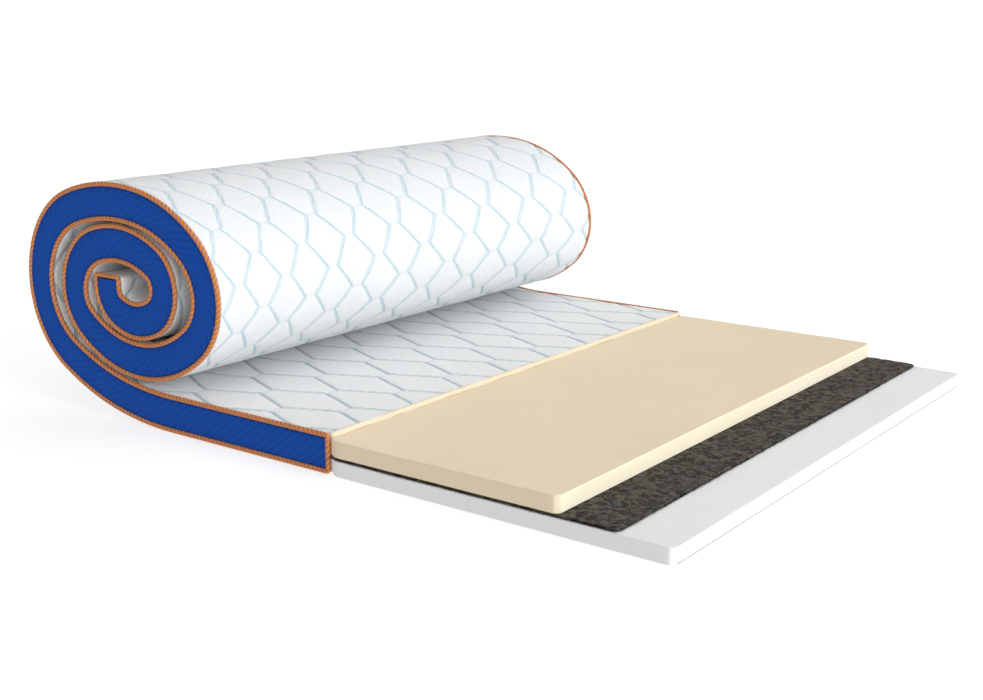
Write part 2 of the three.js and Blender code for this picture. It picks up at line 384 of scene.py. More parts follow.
# ---------------------------------------------------------------- materials
class Tree:
    """A material's nodes, built by small calls. A value is a number, a colour or another node's output."""

    def __init__(self, name, roughness=0.85, **fixed):
        self.material = bpy.data.materials.new(name)
        self.material.use_nodes = True
        self.tree = self.material.node_tree
        self.shader = self.tree.nodes["Principled BSDF"]
        self.shader.inputs["Roughness"].default_value = roughness
        self.shader.inputs["Specular IOR Level"].default_value = 0.06
        for key, value in fixed.items():
            self.shader.inputs[key.replace("_", " ")].default_value = value

    def set(self, socket, value):
        if isinstance(value, bpy.types.NodeSocket):
            self.tree.links.new(value, socket)
        elif hasattr(value, "__len__") and len(value) == 3 and socket.type == "RGBA":
            socket.default_value = (*value, 1)
        else:
            socket.default_value = value

    def math(self, operation, a, b=0.0, c=0.0):
        node = self.tree.nodes.new("ShaderNodeMath")
        node.operation = operation
        for socket, value in zip(node.inputs, (a, b, c)):
            self.set(socket, value)
        return node.outputs[0]

    def hypot(self, a, b):
        squares = self.math("ADD", self.math("MULTIPLY", a, a), self.math("MULTIPLY", b, b))
        return self.math("SQRT", squares)

    def attribute(self, name):
        node = self.tree.nodes.new("ShaderNodeAttribute")
        node.attribute_name = name
        return node

    def parts(self, vector):
        node = self.tree.nodes.new("ShaderNodeSeparateXYZ")
        self.set(node.inputs[0], vector)
        return node.outputs[0], node.outputs[1], node.outputs[2]

    def mix(self, factor, a, b):
        node = self.tree.nodes.new("ShaderNodeMix")
        node.data_type = "RGBA"
        for socket, value in ((node.inputs[0], factor), (node.inputs[6], a), (node.inputs[7], b)):
            self.set(socket, value)
        return node.outputs[2]

    def ramp(self, value, low, high, to_low=0.0, to_high=1.0, kind="SMOOTHSTEP"):
        node = self.tree.nodes.new("ShaderNodeMapRange")
        node.interpolation_type = kind
        for socket, v in zip(node.inputs[:5], (value, low, high, to_low, to_high)):
            self.set(socket, v)
        return node.outputs[0]

    def noise(self, vector, scale, detail=3.0, roughness=0.55, distortion=0.0):
        node = self.tree.nodes.new("ShaderNodeTexNoise")
        for key, value in (
            ("Vector", vector),
            ("Scale", scale),
            ("Detail", detail),
            ("Roughness", roughness),
            ("Distortion", distortion),
        ):
            self.set(node.inputs[key], value)
        return node.outputs[0]

    def cells(self, vector, scale, feature="F1"):
        node = self.tree.nodes.new("ShaderNodeTexVoronoi")
        node.feature = feature
        self.set(node.inputs["Vector"], vector)
        self.set(node.inputs["Scale"], scale)
        return node.outputs["Distance"]

    def wave(self, value, period, phase=0.0):
        """From 0 to 1, along a coordinate in metres."""
        turned = self.math("MULTIPLY_ADD", value, 2 * math.pi / period, phase)
        return self.math("MULTIPLY_ADD", self.math("SINE", turned), 0.5, 0.5)

    def bump(self, height, distance, strength=1.0):
        node = self.tree.nodes.new("ShaderNodeBump")
        node.inputs["Strength"].default_value = strength
        node.inputs["Distance"].default_value = distance
        self.set(node.inputs["Height"], height)
        self.set(self.shader.inputs["Normal"], node.outputs[0])

    def colour(self, value):
        self.set(self.shader.inputs["Base Color"], value)

    def rough(self, value):
        self.set(self.shader.inputs["Roughness"], value)


def knit_material(name, line_colour, line_width, line_strength, row_strength, pale_colour):
    """White knit with a fine diagonal rib and the stitched hexagon lines in pale blue-grey."""
    t = Tree(name, 0.9, Sheen_Weight=0.03, Sheen_Roughness=0.5)
    u, v, column = t.parts(t.attribute("quilt").outputs["Vector"])
    strip = t.attribute("strip").outputs["Vector"]
    s, y, _ = t.parts(strip)
    half = PITCH / 2 / MM
    edge = EDGE_SHARE * half
    rise = half - 2 * edge
    x = t.math("MULTIPLY", t.math("PINGPONG", u, 1.0), column)
    across = t.math("MULTIPLY", t.math("PINGPONG", v, 1.0), half)
    first = t.hypot(x, t.math("MAXIMUM", t.math("SUBTRACT", across, edge), 0.0))
    back = t.math("SUBTRACT", column, x)
    second = t.hypot(back, t.math("MAXIMUM", t.math("SUBTRACT", half - edge, across), 0.0))
    cross = t.math(
        "SUBTRACT",
        t.math("MULTIPLY", t.math("SUBTRACT", across, edge), column),
        t.math("MULTIPLY", x, rise),
    )
    slant = t.math("DIVIDE", t.math("ABSOLUTE", cross), t.hypot(column, rise))
    fuzz = t.math("MULTIPLY_ADD", t.noise(strip, 210.0), 3.0, -2.7)
    wander = t.math("MULTIPLY_ADD", t.noise(strip, 110.0), 2.4, fuzz)
    short = t.math("ADD", t.math("MINIMUM", first, second), wander)
    slant = t.math("ADD", slant, wander)
    side = t.math(
        "MULTIPLY",
        t.math("SINE", t.math("MULTIPLY", u, math.pi)),
        t.math("SINE", t.math("MULTIPLY", v, math.pi)),
    )
    thin = t.ramp(side, -0.03, 0.03)
    # Of the slanting edges, those one way are a thin line, and those the other way two rows of dashes.
    single = t.ramp(slant, 0.25 * line_width, 0.95 * line_width, 1.0, 0.0)
    rows = t.math(
        "MULTIPLY",
        t.ramp(slant, 0.55 * line_width, 1.25 * line_width, 1.0, 0.0),
        t.ramp(slant, 0.1, 0.45 * line_width, 0.55, 1.0),
    )
    dashes = t.wave(t.math("ADD", s, y), 0.0078)
    rows = t.math("MULTIPLY", rows, t.math("MULTIPLY_ADD", dashes, 0.50, row_strength))
    other = t.math("MULTIPLY", t.math("SUBTRACT", 1.0, thin), rows)
    edges = t.math("ADD", t.math("MULTIPLY", thin, single), other)
    faint = t.math("MULTIPLY", t.ramp(short, 0.1 * line_width, line_width, 1.0, 0.0), 0.22)
    line = t.math("MULTIPLY", t.math("MAXIMUM", edges, faint), line_strength)
    line = t.math("MULTIPLY", line, t.ramp(t.noise(strip, 45.0), 0.3, 0.7, 0.75, 1.0))
    diagonal = t.math("MULTIPLY_ADD", y, 0.55, s)
    rib = t.wave(diagonal, 0.0029)
    stitch = t.math("MULTIPLY", t.wave(y, 0.0013), t.wave(s, 0.0015))
    cloud = t.noise(strip, 14.0, 4.0)
    pale = t.mix(t.ramp(cloud, 0.3, 0.7), tuple(0.965 * c for c in pale_colour), pale_colour)
    worked = t.math("MULTIPLY", rib, t.ramp(t.noise(strip, 150.0), 0.3, 0.7, 0.2, 0.55))
    ribbed = t.mix(worked, pale, tuple(0.77 * c for c in pale_colour))
    t.colour(t.mix(line, ribbed, line_colour))
    t.rough(t.math("MULTIPLY_ADD", t.noise(strip, 300.0), 0.12, 0.82))
    height = t.math("MULTIPLY_ADD", rib, 0.6, t.math("MULTIPLY", stitch, 0.4))
    t.bump(t.math("SUBTRACT", height, t.math("MULTIPLY", line, 0.8)), 0.00035, 0.55)
    return t.material


def border_material():
    t = Tree("border_cloth", 0.85)
    strip = t.attribute("strip").outputs["Vector"]
    s, _, h = t.parts(strip)
    twill = t.wave(t.math("MULTIPLY_ADD", h, 1.3, s), 0.0044)
    thread = t.math("MULTIPLY", t.wave(s, 0.0011), t.wave(h, 0.0011))
    from_middle = t.math("ABSOLUTE", t.math("SUBTRACT", h, THICK / 2))
    # Painted shade: the blue darkens a little from the middle outwards, and to near navy over the last 4 mm
    # by the cords.
    clear_of_cord_shade = t.ramp(from_middle, 0.0145, 0.0185, 1.0, 0.0)
    middle = t.math("MULTIPLY", t.ramp(from_middle, 0.002, 0.018, 1.0, 0.85), clear_of_cord_shade)
    band = t.wave(t.math("MULTIPLY_ADD", h, 1.3, s), 0.0135)
    blue = t.mix(middle, (0.0030, 0.023, 0.135), (0.0056, 0.053, 0.302))
    streak = t.math("MULTIPLY_ADD", twill, 0.30, t.math("MULTIPLY", band, 0.26))
    lit = t.mix(streak, blue, (0.014, 0.088, 0.40))
    worn = t.mix(t.ramp(t.noise(strip, 22.0, 4.0), 0.35, 0.75, 0.0, 0.18), lit, (0.012, 0.08, 0.35))
    t.colour(worn)
    t.rough(t.math("MULTIPLY_ADD", t.noise(strip, 260.0), 0.16, 0.70))
    t.bump(t.math("MULTIPLY_ADD", twill, 0.7, t.math("MULTIPLY", thread, 0.3)), 0.0003, 0.5)
    return t.material


def piping_material():
    t = Tree("piping_cord", 0.8)
    strip = t.attribute("strip").outputs["Vector"]
    strand = t.attribute("strand").outputs["Fac"]
    fibre = t.noise(strip, 900.0, 2.0)
    tone = t.noise(strip, 60.0, 2.0)
    orange = t.mix(fibre, (0.60, 0.185, 0.022), (0.80, 0.30, 0.050))
    brown = t.mix(fibre, (0.27, 0.120, 0.100), (0.43, 0.215, 0.185))
    twisted = t.mix(strand, orange, brown)
    t.colour(t.mix(t.ramp(tone, 0.35, 0.7, 0.0, 0.25), twisted, (0.48, 0.16, 0.04)))
    t.rough(t.math("MULTIPLY_ADD", fibre, 0.25, 0.6))
    t.bump(fibre, 0.0003, 0.6)
    return t.material


def foam_material(name, low, high, edge, cut, reach):
    """Fine-celled foam: small cells, a slow change of tone, painted shade on the long side faces, an end
    face coloured for its light (painted light on the cream foam's, painted shade on the white foam's), and
    a painted contact shadow along the floor.
    """
    t = Tree(name, 0.92)
    strip = t.attribute("strip").outputs["Vector"]
    cells = t.cells(strip, 620.0)
    fine = t.noise(strip, 1400.0, 2.0)
    slow = t.noise(strip, 9.0, 4.0)
    tone = t.mix(t.ramp(slow, 0.3, 0.7), low, high)
    s, y, h = t.parts(strip)
    # Painted shade: the long side faces take a darker tone, nine tenths of the low colour.
    beside = t.ramp(t.math("ABSOLUTE", y), HALF - 0.0012, HALF - 0.0004)
    tone = t.mix(beside, tone, tuple(0.90 * c for c in low))
    # The end face takes its own colour, set for the strong lamp that faces it: painted light on the cream
    # foam's end, painted shade on the white foam's.
    across = t.ramp(s, 0.0008 - reach, 0.0003 - reach)
    tone = t.mix(across, tone, cut)
    # Painted contact shadow: the end face darkens to half its colour in its lowest 1.4 mm along the floor.
    painted_contact_shadow = t.math("MULTIPLY", across, t.ramp(h, 0.0014, 0.0026, 1.0, 0.0))
    tone = t.mix(painted_contact_shadow, tone, tuple(0.50 * c for c in cut))
    t.colour(t.mix(t.ramp(cells, 0.1, 0.75, 0.25, 0.0), tone, edge))
    t.rough(t.math("MULTIPLY_ADD", fine, 0.1, 0.85))
    t.bump(t.math("MULTIPLY_ADD", fine, 0.35, cells), 0.0004, 0.45)
    return t.material


def felt_material():
    t = Tree("thermo_felt", 1.0)
    strip = t.attribute("strip").outputs["Vector"]
    clumps = t.noise(strip, 95.0, 4.0, 0.65, 0.8)
    warm = t.noise(strip, 60.0, 3.0, 0.6, 0.5)
    flecks = t.noise(strip, 380.0, 4.0, 0.75, 1.5)
    threads = t.noise(strip, 800.0, 2.0, 0.6, 3.0)
    lighter = t.mix(t.ramp(warm, 0.42, 0.60), (0.105, 0.102, 0.095), (0.150, 0.120, 0.090))
    base = t.mix(t.ramp(clumps, 0.40, 0.60), (0.024, 0.023, 0.020), lighter)
    mottled = t.mix(t.ramp(flecks, 0.50, 0.64, 0.0, 0.75), base, (0.20, 0.178, 0.145))
    dark = t.mix(t.ramp(flecks, 0.34, 0.46, 0.8, 0.0), mottled, (0.008, 0.008, 0.007))
    t.colour(t.mix(t.ramp(threads, 0.62, 0.74, 0.0, 0.7), dark, (0.27, 0.25, 0.22)))
    t.bump(t.math("ADD", flecks, t.math("MULTIPLY", threads, 0.6)), 0.0012, 0.9)
    return t.material


KNIT_TOP = knit_material("knit_top", (0.31, 0.42, 0.475), 4.1, 0.85, 0.50, (0.84, 0.838, 0.832))
KNIT_BASE = knit_material("knit_underside", (0.40, 0.53, 0.585), 3.6, 0.95, 0.56, (0.755, 0.757, 0.759))
BORDER = border_material()
PIPING = piping_material()
# For the cream and white foams the last colour given is the end face's: painted light on the cream's,
# painted shade on the white's.
CREAM = foam_material(
    "cream_foam", (0.800, 0.670, 0.490), (0.828, 0.694, 0.510), (0.67, 0.56, 0.40), (0.92, 0.82, 0.625),
    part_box("cream_foam_flat")[1].x - MOUTH,
)  # fmt: skip
WADDING = foam_material(
    "wadding", (0.74, 0.65, 0.485), (0.76, 0.67, 0.51), (0.67, 0.58, 0.42), (0.76, 0.67, 0.51), 1.0
)
WHITE = foam_material(
    "white_foam", (0.820, 0.812, 0.806), (0.845, 0.838, 0.830), (0.73, 0.722, 0.716), (0.70, 0.69, 0.695),
    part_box("white_foam_flat")[1].x - MOUTH,
)  # fmt: skip
FELT = felt_material()

# ---------------------------------------------------------------- the cover's panels
FINE = 0.003
PANEL_EDGE = HALF - 0.006  # where the panels meet the piping
PANEL_FALL = 0.006  # width of the rounding along a panel's two long edges
TOP_DEPTH, TOP_RIM = 0.0059, 0.0029  # the top panel's thickness, and its rounding's height
BASE_DEPTH, BASE_RIM = 0.0032, 0.0019
TOP_PAST_END, BASE_PAST_END = 0.0052, 0.0030  # how far the panels run past the layers' inner end


def end_round(s, at, length, sign):
    """From 0 at an end to 1 a length inside it, as a quarter circle rises."""
    t = np.clip(sign * (s - at) / length, 0, 1)
    return np.sqrt(1 - (1 - t) ** 2)


def close_rows(step, near_start, near_end, start, end):
    """Stations with extra rows near both ends."""
    s, marks = stations(step, start, end)
    head = start + near_start * np.array([0.0, 0.03, 0.12, 0.3, 0.55, 0.8])
    tail = end - near_end * np.array([0.8, 0.55, 0.3, 0.12, 0.03, 0.0])
    kept_low = s[(s > start + near_start) & (s <= s[marks[1]])]
    kept_mid = s[(s > s[marks[1]]) & (s < end - near_end)]
    joined = np.concatenate([head, kept_low, kept_mid, tail])
    found = [0, *[int(np.argmin(np.abs(joined - s[m]))) for m in marks[1:-1]], len(joined) - 1]
    return joined, found


def panel(quilt_of, is_top):
    """A quilted panel's whole grid: its fine face with the stitched relief, and its plain inner face."""
    end = TOTAL + (TOP_PAST_END if is_top else BASE_PAST_END)
    s, marks = close_rows(FINE, 0.001, 0.003, 0.0, end)
    wide = np.linspace(PANEL_EDGE, -PANEL_EDGE, round(2 * PANEL_EDGE / FINE) + 1)
    rim = PANEL_EDGE - np.array([0.0, 0.0004, 0.0013, 0.0028])
    wide = np.concatenate([rim, wide[(wide < rim[-1]) & (wide > -rim[-1])], -rim[::-1]])
    s = s[:, None]
    inner = np.array([PANEL_EDGE, PANEL_EDGE / 2, 0, -PANEL_EDGE / 2, -PANEL_EDGE])
    quilt = quilt_of(s, wide[None, :])
    dip = quilt_dip(quilt, s, wide[None, :])
    fall = 1 - np.sqrt(1 - (1 - np.clip((PANEL_EDGE - np.abs(wide)) / PANEL_FALL, 0, 1)) ** 2)
    ends = (0.85 + 0.15 * end_round(s, 0.0, 0.001, 1)) * end_round(s, end, 0.003, -1)
    if is_top:
        under, face = THICK - TOP_DEPTH, THICK - dip - TOP_RIM * fall[None, :]
        face = under + TOP_RIM + (face - under - TOP_RIM) * ends
        under = under + TOP_RIM * (1 - ends)
        y = np.concatenate([wide, inner[::-1]])
        h = np.concatenate([face, np.broadcast_to(under, (len(s), len(inner)))], 1)
    else:
        over, face = BASE_DEPTH, dip + BASE_RIM * fall[None, :]
        face = over - (over - face) * (0.35 + 0.65 * ends)
        y = np.concatenate([inner, wide[::-1]])
        h = np.concatenate([np.full((len(s), len(inner)), over), face[:, ::-1]], 1)
    grid = Grid(s, y[None, :], h, quilt=quilt_of(s, y[None, :]))
    return grid, marks


def cut_strip(grid, marks, name, material, flat_node, roll_node, declare, closed=False):
    """Cuts a strip's grid at the seams: the laid piece, one piece for each hinge, and the inner end."""
    last = len(marks) - 2
    for k in range(last + 1):
        ends = (closed or k == 0, closed or k == last)
        label = f"{name}_laid" if k == 0 else f"{name}_end" if k == last else f"{name}_{number(k)}"
        piece = grid.cut(label, marks[k], marks[k + 1], ends)
        nodes = [flat_node if k == 0 else roll_node]
        body = "laid_part" if k == 0 else LAST_BODY if k == last else None
        finish_piece(piece, material, nodes, body, None if body else k)
        declare(piece)


def padded():
    return lambda piece: piece


def add_panels():
    grid, marks = panel(top_quilt, True)
    cut_strip(
        grid, marks, "top_panel", KNIT_TOP, "cover_top_flat", "cover_top_roll", padded()
    )  # fmt: skip
    grid, marks = panel(base_quilt, False)
    cut_strip(
        grid, marks, "underside_panel", KNIT_BASE, "cover_base_flat", "cover_base_roll",
        padded(),
    )  # fmt: skip
    add_end_panel()
    add_wadding()


def squared_off(c):
    """Turns a circle's cosine or sine into that of a square with rounded corners."""
    return np.sign(c) * np.abs(c) ** 0.28


def add_wadding():
    """The top panel's cream wadding, which shows as a rim along the cover's mouth."""
    y = np.linspace(-PANEL_EDGE + 0.0004, PANEL_EDGE - 0.0004, round(2 * PANEL_EDGE / (2 * FINE)))[:, None]
    angle = np.radians(np.linspace(0, 360, 25)[:-1])
    s = 0.0012 + 0.0022 * squared_off(np.cos(angle))
    h = 0.04462 + 0.00308 * squared_off(np.sin(angle))
    soft = 0.00022 * value_noise(y, 30 * h[None, :], 0.02, 61)
    grid = Grid(s[None, :] + soft, y, h[None, :] + soft, normals=False)
    piece = grid.cut("top_panel_wadding", 0, len(y) - 1, (True, True))
    finish_piece(piece, WADDING, ["cover_top_flat"], body="laid_part")


def add_end_panel():
    """The top panel's cloth where it comes down over the strip's inner end."""
    y = np.linspace(-PANEL_EDGE, PANEL_EDGE, round(2 * PANEL_EDGE / (2 * FINE)))[:, None]
    low, high = 0.0030, THICK - 0.0030
    h = np.linspace(high, low, 14)
    bulge = 0.0009 * (1 - ((h - THICK / 2) / (THICK / 2)) ** 2)
    outer = TOTAL + 0.0049 + bulge
    loop_h = np.concatenate([h, h[::-1]])
    loop_s = np.concatenate([outer, np.full(len(h), TOTAL + 0.0012)])
    wave = 0.0003 * value_noise(y, loop_h[None, :], 0.03, 8)
    s = loop_s[None, :] + wave * (loop_s > TOTAL + 0.002)[None, :]
    grid = Grid(s, y, loop_h[None, :], flip=False)
    # The middle of a wide cell, so that no stitched line falls on the panel.
    grid.quilt = np.stack([np.full(s.shape, 0.0), np.full(s.shape, 1.0), np.full(s.shape, 400.0)], -1)
    piece = grid.cut("end_panel", 0, len(y) - 1, (True, True))
    finish_piece(piece, KNIT_TOP, ["cover_top_roll"], body=LAST_BODY)


# ---------------------------------------------------------------- borders
BORDER_LOW, BORDER_HIGH = 0.0056, 0.0424  # heights of its edges, behind the two cords
BORDER_FACE = HALF - 0.0024
BORDER_TURN, BORDER_BACK = HALF - 0.0035, HALF - 0.006  # where its edges turn in, and its inner face
BORDER_BULGE = 0.0013


def add_borders():
    s, marks = stations(2 * FINE, 0.0052, TOTAL + 0.0012)
    s = s[:, None]
    h = np.linspace(BORDER_HIGH, BORDER_LOW, 15)
    bulge = BORDER_BULGE * (1 - ((h - THICK / 2) / 0.019) ** 2)
    face = BORDER_FACE + bulge
    loop_y = np.concatenate([[BORDER_BACK, BORDER_TURN], face, [BORDER_TURN, BORDER_BACK]])
    loop_h = np.concatenate([[BORDER_HIGH, BORDER_HIGH + 0.0003], h, [BORDER_LOW - 0.0003, BORDER_LOW]])
    slack = np.concatenate([[0, 0], np.sin(np.linspace(0, math.pi, len(h))), [0, 0]])
    for side, sign in (("near", -1), ("far", 1)):
        pucker = 0.00022 * value_noise(s, loop_h[None, :], 0.018, 20 + sign)
        pucker = pucker + 0.0003 * value_noise(s, loop_h[None, :] * 0.3, 0.06, 30 + sign)
        y = sign * (loop_y[None, :] + pucker * slack[None, :])
        # The loop runs down the outer face on the near side, so the far side's is turned round.
        grid = Grid(s, y, loop_h[None, :], flip=sign > 0)

        def declare(piece):
            float(np.ptp(along_strip(piece)))

        cut_strip(
            grid, marks, f"border_{side}", BORDER, f"border_{side}_flat",
            f"border_{side}_roll", declare, closed=True,
        )  # fmt: skip


# ---------------------------------------------------------------- piping
CORD = 0.003  # radius
LEAD = 0.0135  # length of one turn of the cord's four strands
CORD_STEP = 0.0009
CORD_SIDES = 16
INSET = 0.003  # of the cord's upright run, from the mouth and past the layers' inner end
BEND = 0.0025  # radius of the line's corners
LOW, HIGH = CORD, THICK - CORD


def cord_length(s, h):
    """Length along a line at height h from s = 0, for a list of s."""
    knots = np.concatenate([[0, FLAT], START[1:], [TOTAL]])
    scale = np.concatenate([[1], 1 - (h - THICK / 2) / RADIUS, [1]])
    lengths = np.concatenate([[0], np.cumsum(np.diff(knots) * scale)])
    return np.interp(s, knots, lengths)


def cord_rows(s, h, out_s, out_h, turned, y):
    """Cross-sections of the twisted cord at points of a line. out is the outward normal in s and h."""
    angle = np.arange(CORD_SIDES) * 2 * math.pi / CORD_SIDES
    radius = CORD * (0.80 + 0.20 * np.sqrt(np.abs(np.cos(2 * angle))))
    turn = 2 * math.pi * turned / LEAD
    phi = angle[None, :] + turn[:, None]
    side = radius[None, :] * np.cos(phi)
    out = radius[None, :] * np.sin(phi)
    return s[:, None] + out * out_s[:, None], y + side, h[:, None] + out * out_h[:, None]


# Faces between creases belong to one strand: creases lie at 45 degrees, so strands are set off by two.
STRAND = np.array([((j + 2) // 4) % 2 for j in range(CORD_SIDES)], float)


def corner(centre, from_angle):
    """A quarter circle of the line round a corner, with its outward normals, in s and h."""
    a = np.radians(np.linspace(from_angle, from_angle + 90, 6))
    return centre[0] + BEND * np.cos(a), centre[1] + BEND * np.sin(a), np.cos(a), np.sin(a)


def joined_line(parts):
    s, h, out_s, out_h = (np.concatenate(c) for c in zip(*parts))
    length = np.concatenate([[0], np.cumsum(np.hypot(np.diff(s), np.diff(h)))])
    fine = np.linspace(0, length[-1], max(3, round(length[-1] / CORD_STEP)))
    values = [np.interp(fine, length, c) for c in (s, h, out_s, out_h)]
    size = np.hypot(values[2], values[3])
    return fine, values[0], values[1], values[2] / size, values[3] / size


def level(a, b, h, out):
    s = np.linspace(a, b, 40)
    return s, np.full(40, h), np.zeros(40), np.full(40, float(out))


def cord_piece(name, grids):
    """One piece of piping from several grids."""
    points, quads, strip, _ = join_grids(grids)
    normals = np.concatenate([g.normals.reshape(-1, 3) for g in grids])
    strand = np.concatenate([np.tile(g.columns, len(g.points) - 1) for g in grids])
    return make_mesh(name, points, quads, (), normals, {"strip": strip}, {"strand": strand})


def add_piping():
    for side, sign in (("near", -1), ("far", 1)):
        y = sign * (HALF - CORD)
        # Round the mouth: along the top towards it, down, and back along the underside.
        parts = [
            level(FLAT, INSET + BEND, HIGH, 1),
            corner((INSET + BEND, HIGH - BEND), 90),
            corner((INSET + BEND, LOW + BEND), 180),
            level(INSET + BEND, FLAT, LOW, -1),
        ]
        fine, s, h, out_s, out_h = joined_line(parts)
        turned = fine - FLAT
        grid = Grid(*cord_rows(s, h, out_s, out_h, turned, y), flip=True, columns=STRAND)
        piece = cord_piece(f"piping_{side}_laid", [grid])
        finish_piece(piece, PIPING, [f"piping_{side}_flat"], body="laid_part")
        low_start = turned[-1] - cord_length(FLAT, LOW)
        s, marks = stations(CORD_STEP, FLAT, TOTAL)
        for k in range(1, HINGES + 1):
            part = s[marks[k - 1] : marks[k] + 1]
            grids = []
            for h, out, turned in (
                (HIGH, 1.0, -cord_length(part, HIGH)),
                (LOW, -1.0, low_start + cord_length(part, LOW)),
            ):
                ones = np.ones(len(part))
                rows = cord_rows(part, h * ones, 0 * ones, out * ones, turned, y)
                grids.append(Grid(*rows, flip=out < 0, columns=STRAND))
            piece = cord_piece(f"piping_{side}_{number(k)}", grids)
            finish_piece(piece, PIPING, [f"piping_{side}_roll"], hinge=k)
        # Round the inner end: along the underside, up, and back along the top.
        last = SEAMS[-1]
        parts = [
            level(last, TOTAL + INSET, LOW, -1),
            corner((TOTAL + INSET, LOW + BEND), -90),
            corner((TOTAL + INSET, HIGH - BEND), 0),
            level(TOTAL + INSET, last, HIGH, 1),
        ]
        fine, s, h, out_s, out_h = joined_line(parts)
        begin = low_start + cord_length(last, LOW)
        end = -cord_length(last, HIGH)
        length = fine[-1]
        turns = round((end - begin - length) / LEAD)
        turned = begin + fine / length * (end - turns * LEAD - begin)
        grid = Grid(*cord_rows(s, h, out_s, out_h, turned, y), flip=True, columns=STRAND)
        piece = cord_piece(f"piping_{side}_end", [grid])
        finish_piece(piece, PIPING, [f"piping_{side}_roll"], body=LAST_BODY)


# ---------------------------------------------------------------- the layers
HELD_HALF_WIDTH = HALF - 0.0064  # of every layer inside the cover
SLAB_CORNER = 0.009  # radius of a layer's two free corners, seen from above


class Layer:
    """A layer's sizes, from its CAD node: its length beyond the mouth, half its width and its heights."""

    def __init__(self, node, rounding):
        low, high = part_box(node)
        self.reach = high.x - MOUTH
        self.half_width = high.y
        self.free = (low.z, high.z)
        self.rounding = rounding


def rounded_loop(half_width, low, high, rounding, across):
    """A closed profile in y and h: along the top, down the near side, along the bottom, up the far side."""
    r = min(rounding, (high - low) / 2 - 1e-5)
    a = np.radians([75, 45, 15])
    top = np.linspace(half_width - r, -half_width + r, across)
    side_h = np.linspace(high - r, low + r, 5)
    near = [(-half_width + r - r * math.cos(b), high - r + r * math.sin(b)) for b in a]
    low_near = [(-half_width + r - r * math.cos(b), low + r - r * math.sin(b)) for b in a[::-1]]
    loop = [(y, high) for y in top]
    loop += near
    loop += [(-half_width, z) for z in side_h]
    loop += low_near
    loop += [(-y, low) for y in top]
    loop += [(-y, z) for y, z in low_near[::-1]]
    loop += [(half_width, z) for z in side_h[::-1]]
    loop += [(-y, z) for y, z in near[::-1]]
    return np.array(loop)


def add_slab(name, layer, held_low, free_low, high, material, node, step, ragged=0.0, uneven=0.0):
    """The layer's laid part: held in the cover, then standing out of the mouth to its rounded corners."""
    end = -layer.reach
    r = layer.rounding
    main = np.arange(FLAT, 0.009, -0.02)
    relax = np.array([0.008, 0.004, 0.001, -0.002, -0.005, -0.009, -0.014, -0.02])
    outside = np.arange(-0.02 - step, end + SLAB_CORNER, -step)
    a = np.radians(np.linspace(0, 78, 12))
    turn = end + SLAB_CORNER - SLAB_CORNER * np.sin(a)
    tight = end + r * (1 - np.sin(np.radians([50, 65, 78, 90])))
    s = np.concatenate([main, relax, outside, turn[turn > tight[0] + 1e-4], tight])
    across = round(2 * layer.half_width / step)
    rows = []
    for value in s:
        out = float(smooth((0.004 - value) / 0.016))
        half_width = HELD_HALF_WIDTH + (layer.half_width - HELD_HALF_WIDTH) * out
        low = held_low + (free_low - held_low) * out
        depth = np.clip((end + SLAB_CORNER - value) / SLAB_CORNER, 0, 1)
        half_width -= SLAB_CORNER * (1 - math.sqrt(1 - depth * depth))
        near_end = np.clip((end + r - value) / r, 0, 1)
        inset = r * (1 - math.sqrt(max(0.0, 1 - near_end * near_end)))
        loop = rounded_loop(half_width - inset, low + inset, high - inset, r, across)
        rows.append(loop)
    rows = np.array(rows)
    y, h = rows[..., 0], rows[..., 1]
    s2 = np.repeat(s[:, None], y.shape[1], 1)
    free = smooth((0.004 - s2) / 0.02)
    middle = (held_low + high) / 2
    if ragged:
        edge = value_noise(s2, h * 40, 0.004, 41) + 0.6 * value_noise(s2, h * 90, 0.0016, 42)
        y = y + np.sign(y) * ragged * edge * smooth((np.abs(y) - layer.half_width + 0.02) / 0.02) * free
        frayed = value_noise(y, h * 40, 0.004, 43) + 0.6 * value_noise(y, h * 90, 0.0016, 44)
        s2 = s2 + ragged * frayed * smooth((end + 0.02 - s2) / 0.02)
    if uneven:
        lumps = value_noise(s2, y, 0.09, 51) + 0.5 * value_noise(s2, y, 0.03, 52)
        if ragged:
            lumps = lumps + 1.2 * value_noise(s2, y, 0.006, 53) + 0.8 * value_noise(s2, y, 0.0027, 54)
        h = h + uneven * lumps * free * smooth((h - middle) / 0.002)
        sides = value_noise(s2, h * 3, 0.05, 55) * smooth((np.abs(y) - layer.half_width + 0.004) / 0.003)
        y = y + np.sign(y) * 0.6 * uneven * sides * free
    grid = Grid(s2, y, h, flip=True, normals=False)
    piece = grid.cut(name, 0, len(s) - 1, (True, True))
    return finish_piece(piece, material, [node], body="laid_part")


def add_layers():
    white = Layer("white_foam_flat", 0.0012)
    felt = Layer("felt_flat", 0.0010)
    cream = Layer("cream_foam_flat", 0.0014)
    step = 0.006
    slab = add_slab(
        "white_foam_slab", white, 0.0033, white.free[0], white.free[1], WHITE,
        "white_foam_flat", step, uneven=0.0003,
    )  # fmt: skip
    sheet = add_slab(
        "felt_sheet", felt, felt.free[0], felt.free[0], felt.free[1], FELT, "felt_flat",
        0.0022, ragged=0.0011, uneven=0.00035,
    )  # fmt: skip
    slab = add_slab(
        "cream_foam_slab", cream, cream.free[0], cream.free[0], cream.free[1], CREAM,
        "cream_foam_flat", step, uneven=0.00035,
    )  # fmt: skip
    add_fibres(felt)
    add_core()


FIBRE_RADIUS = 0.00011


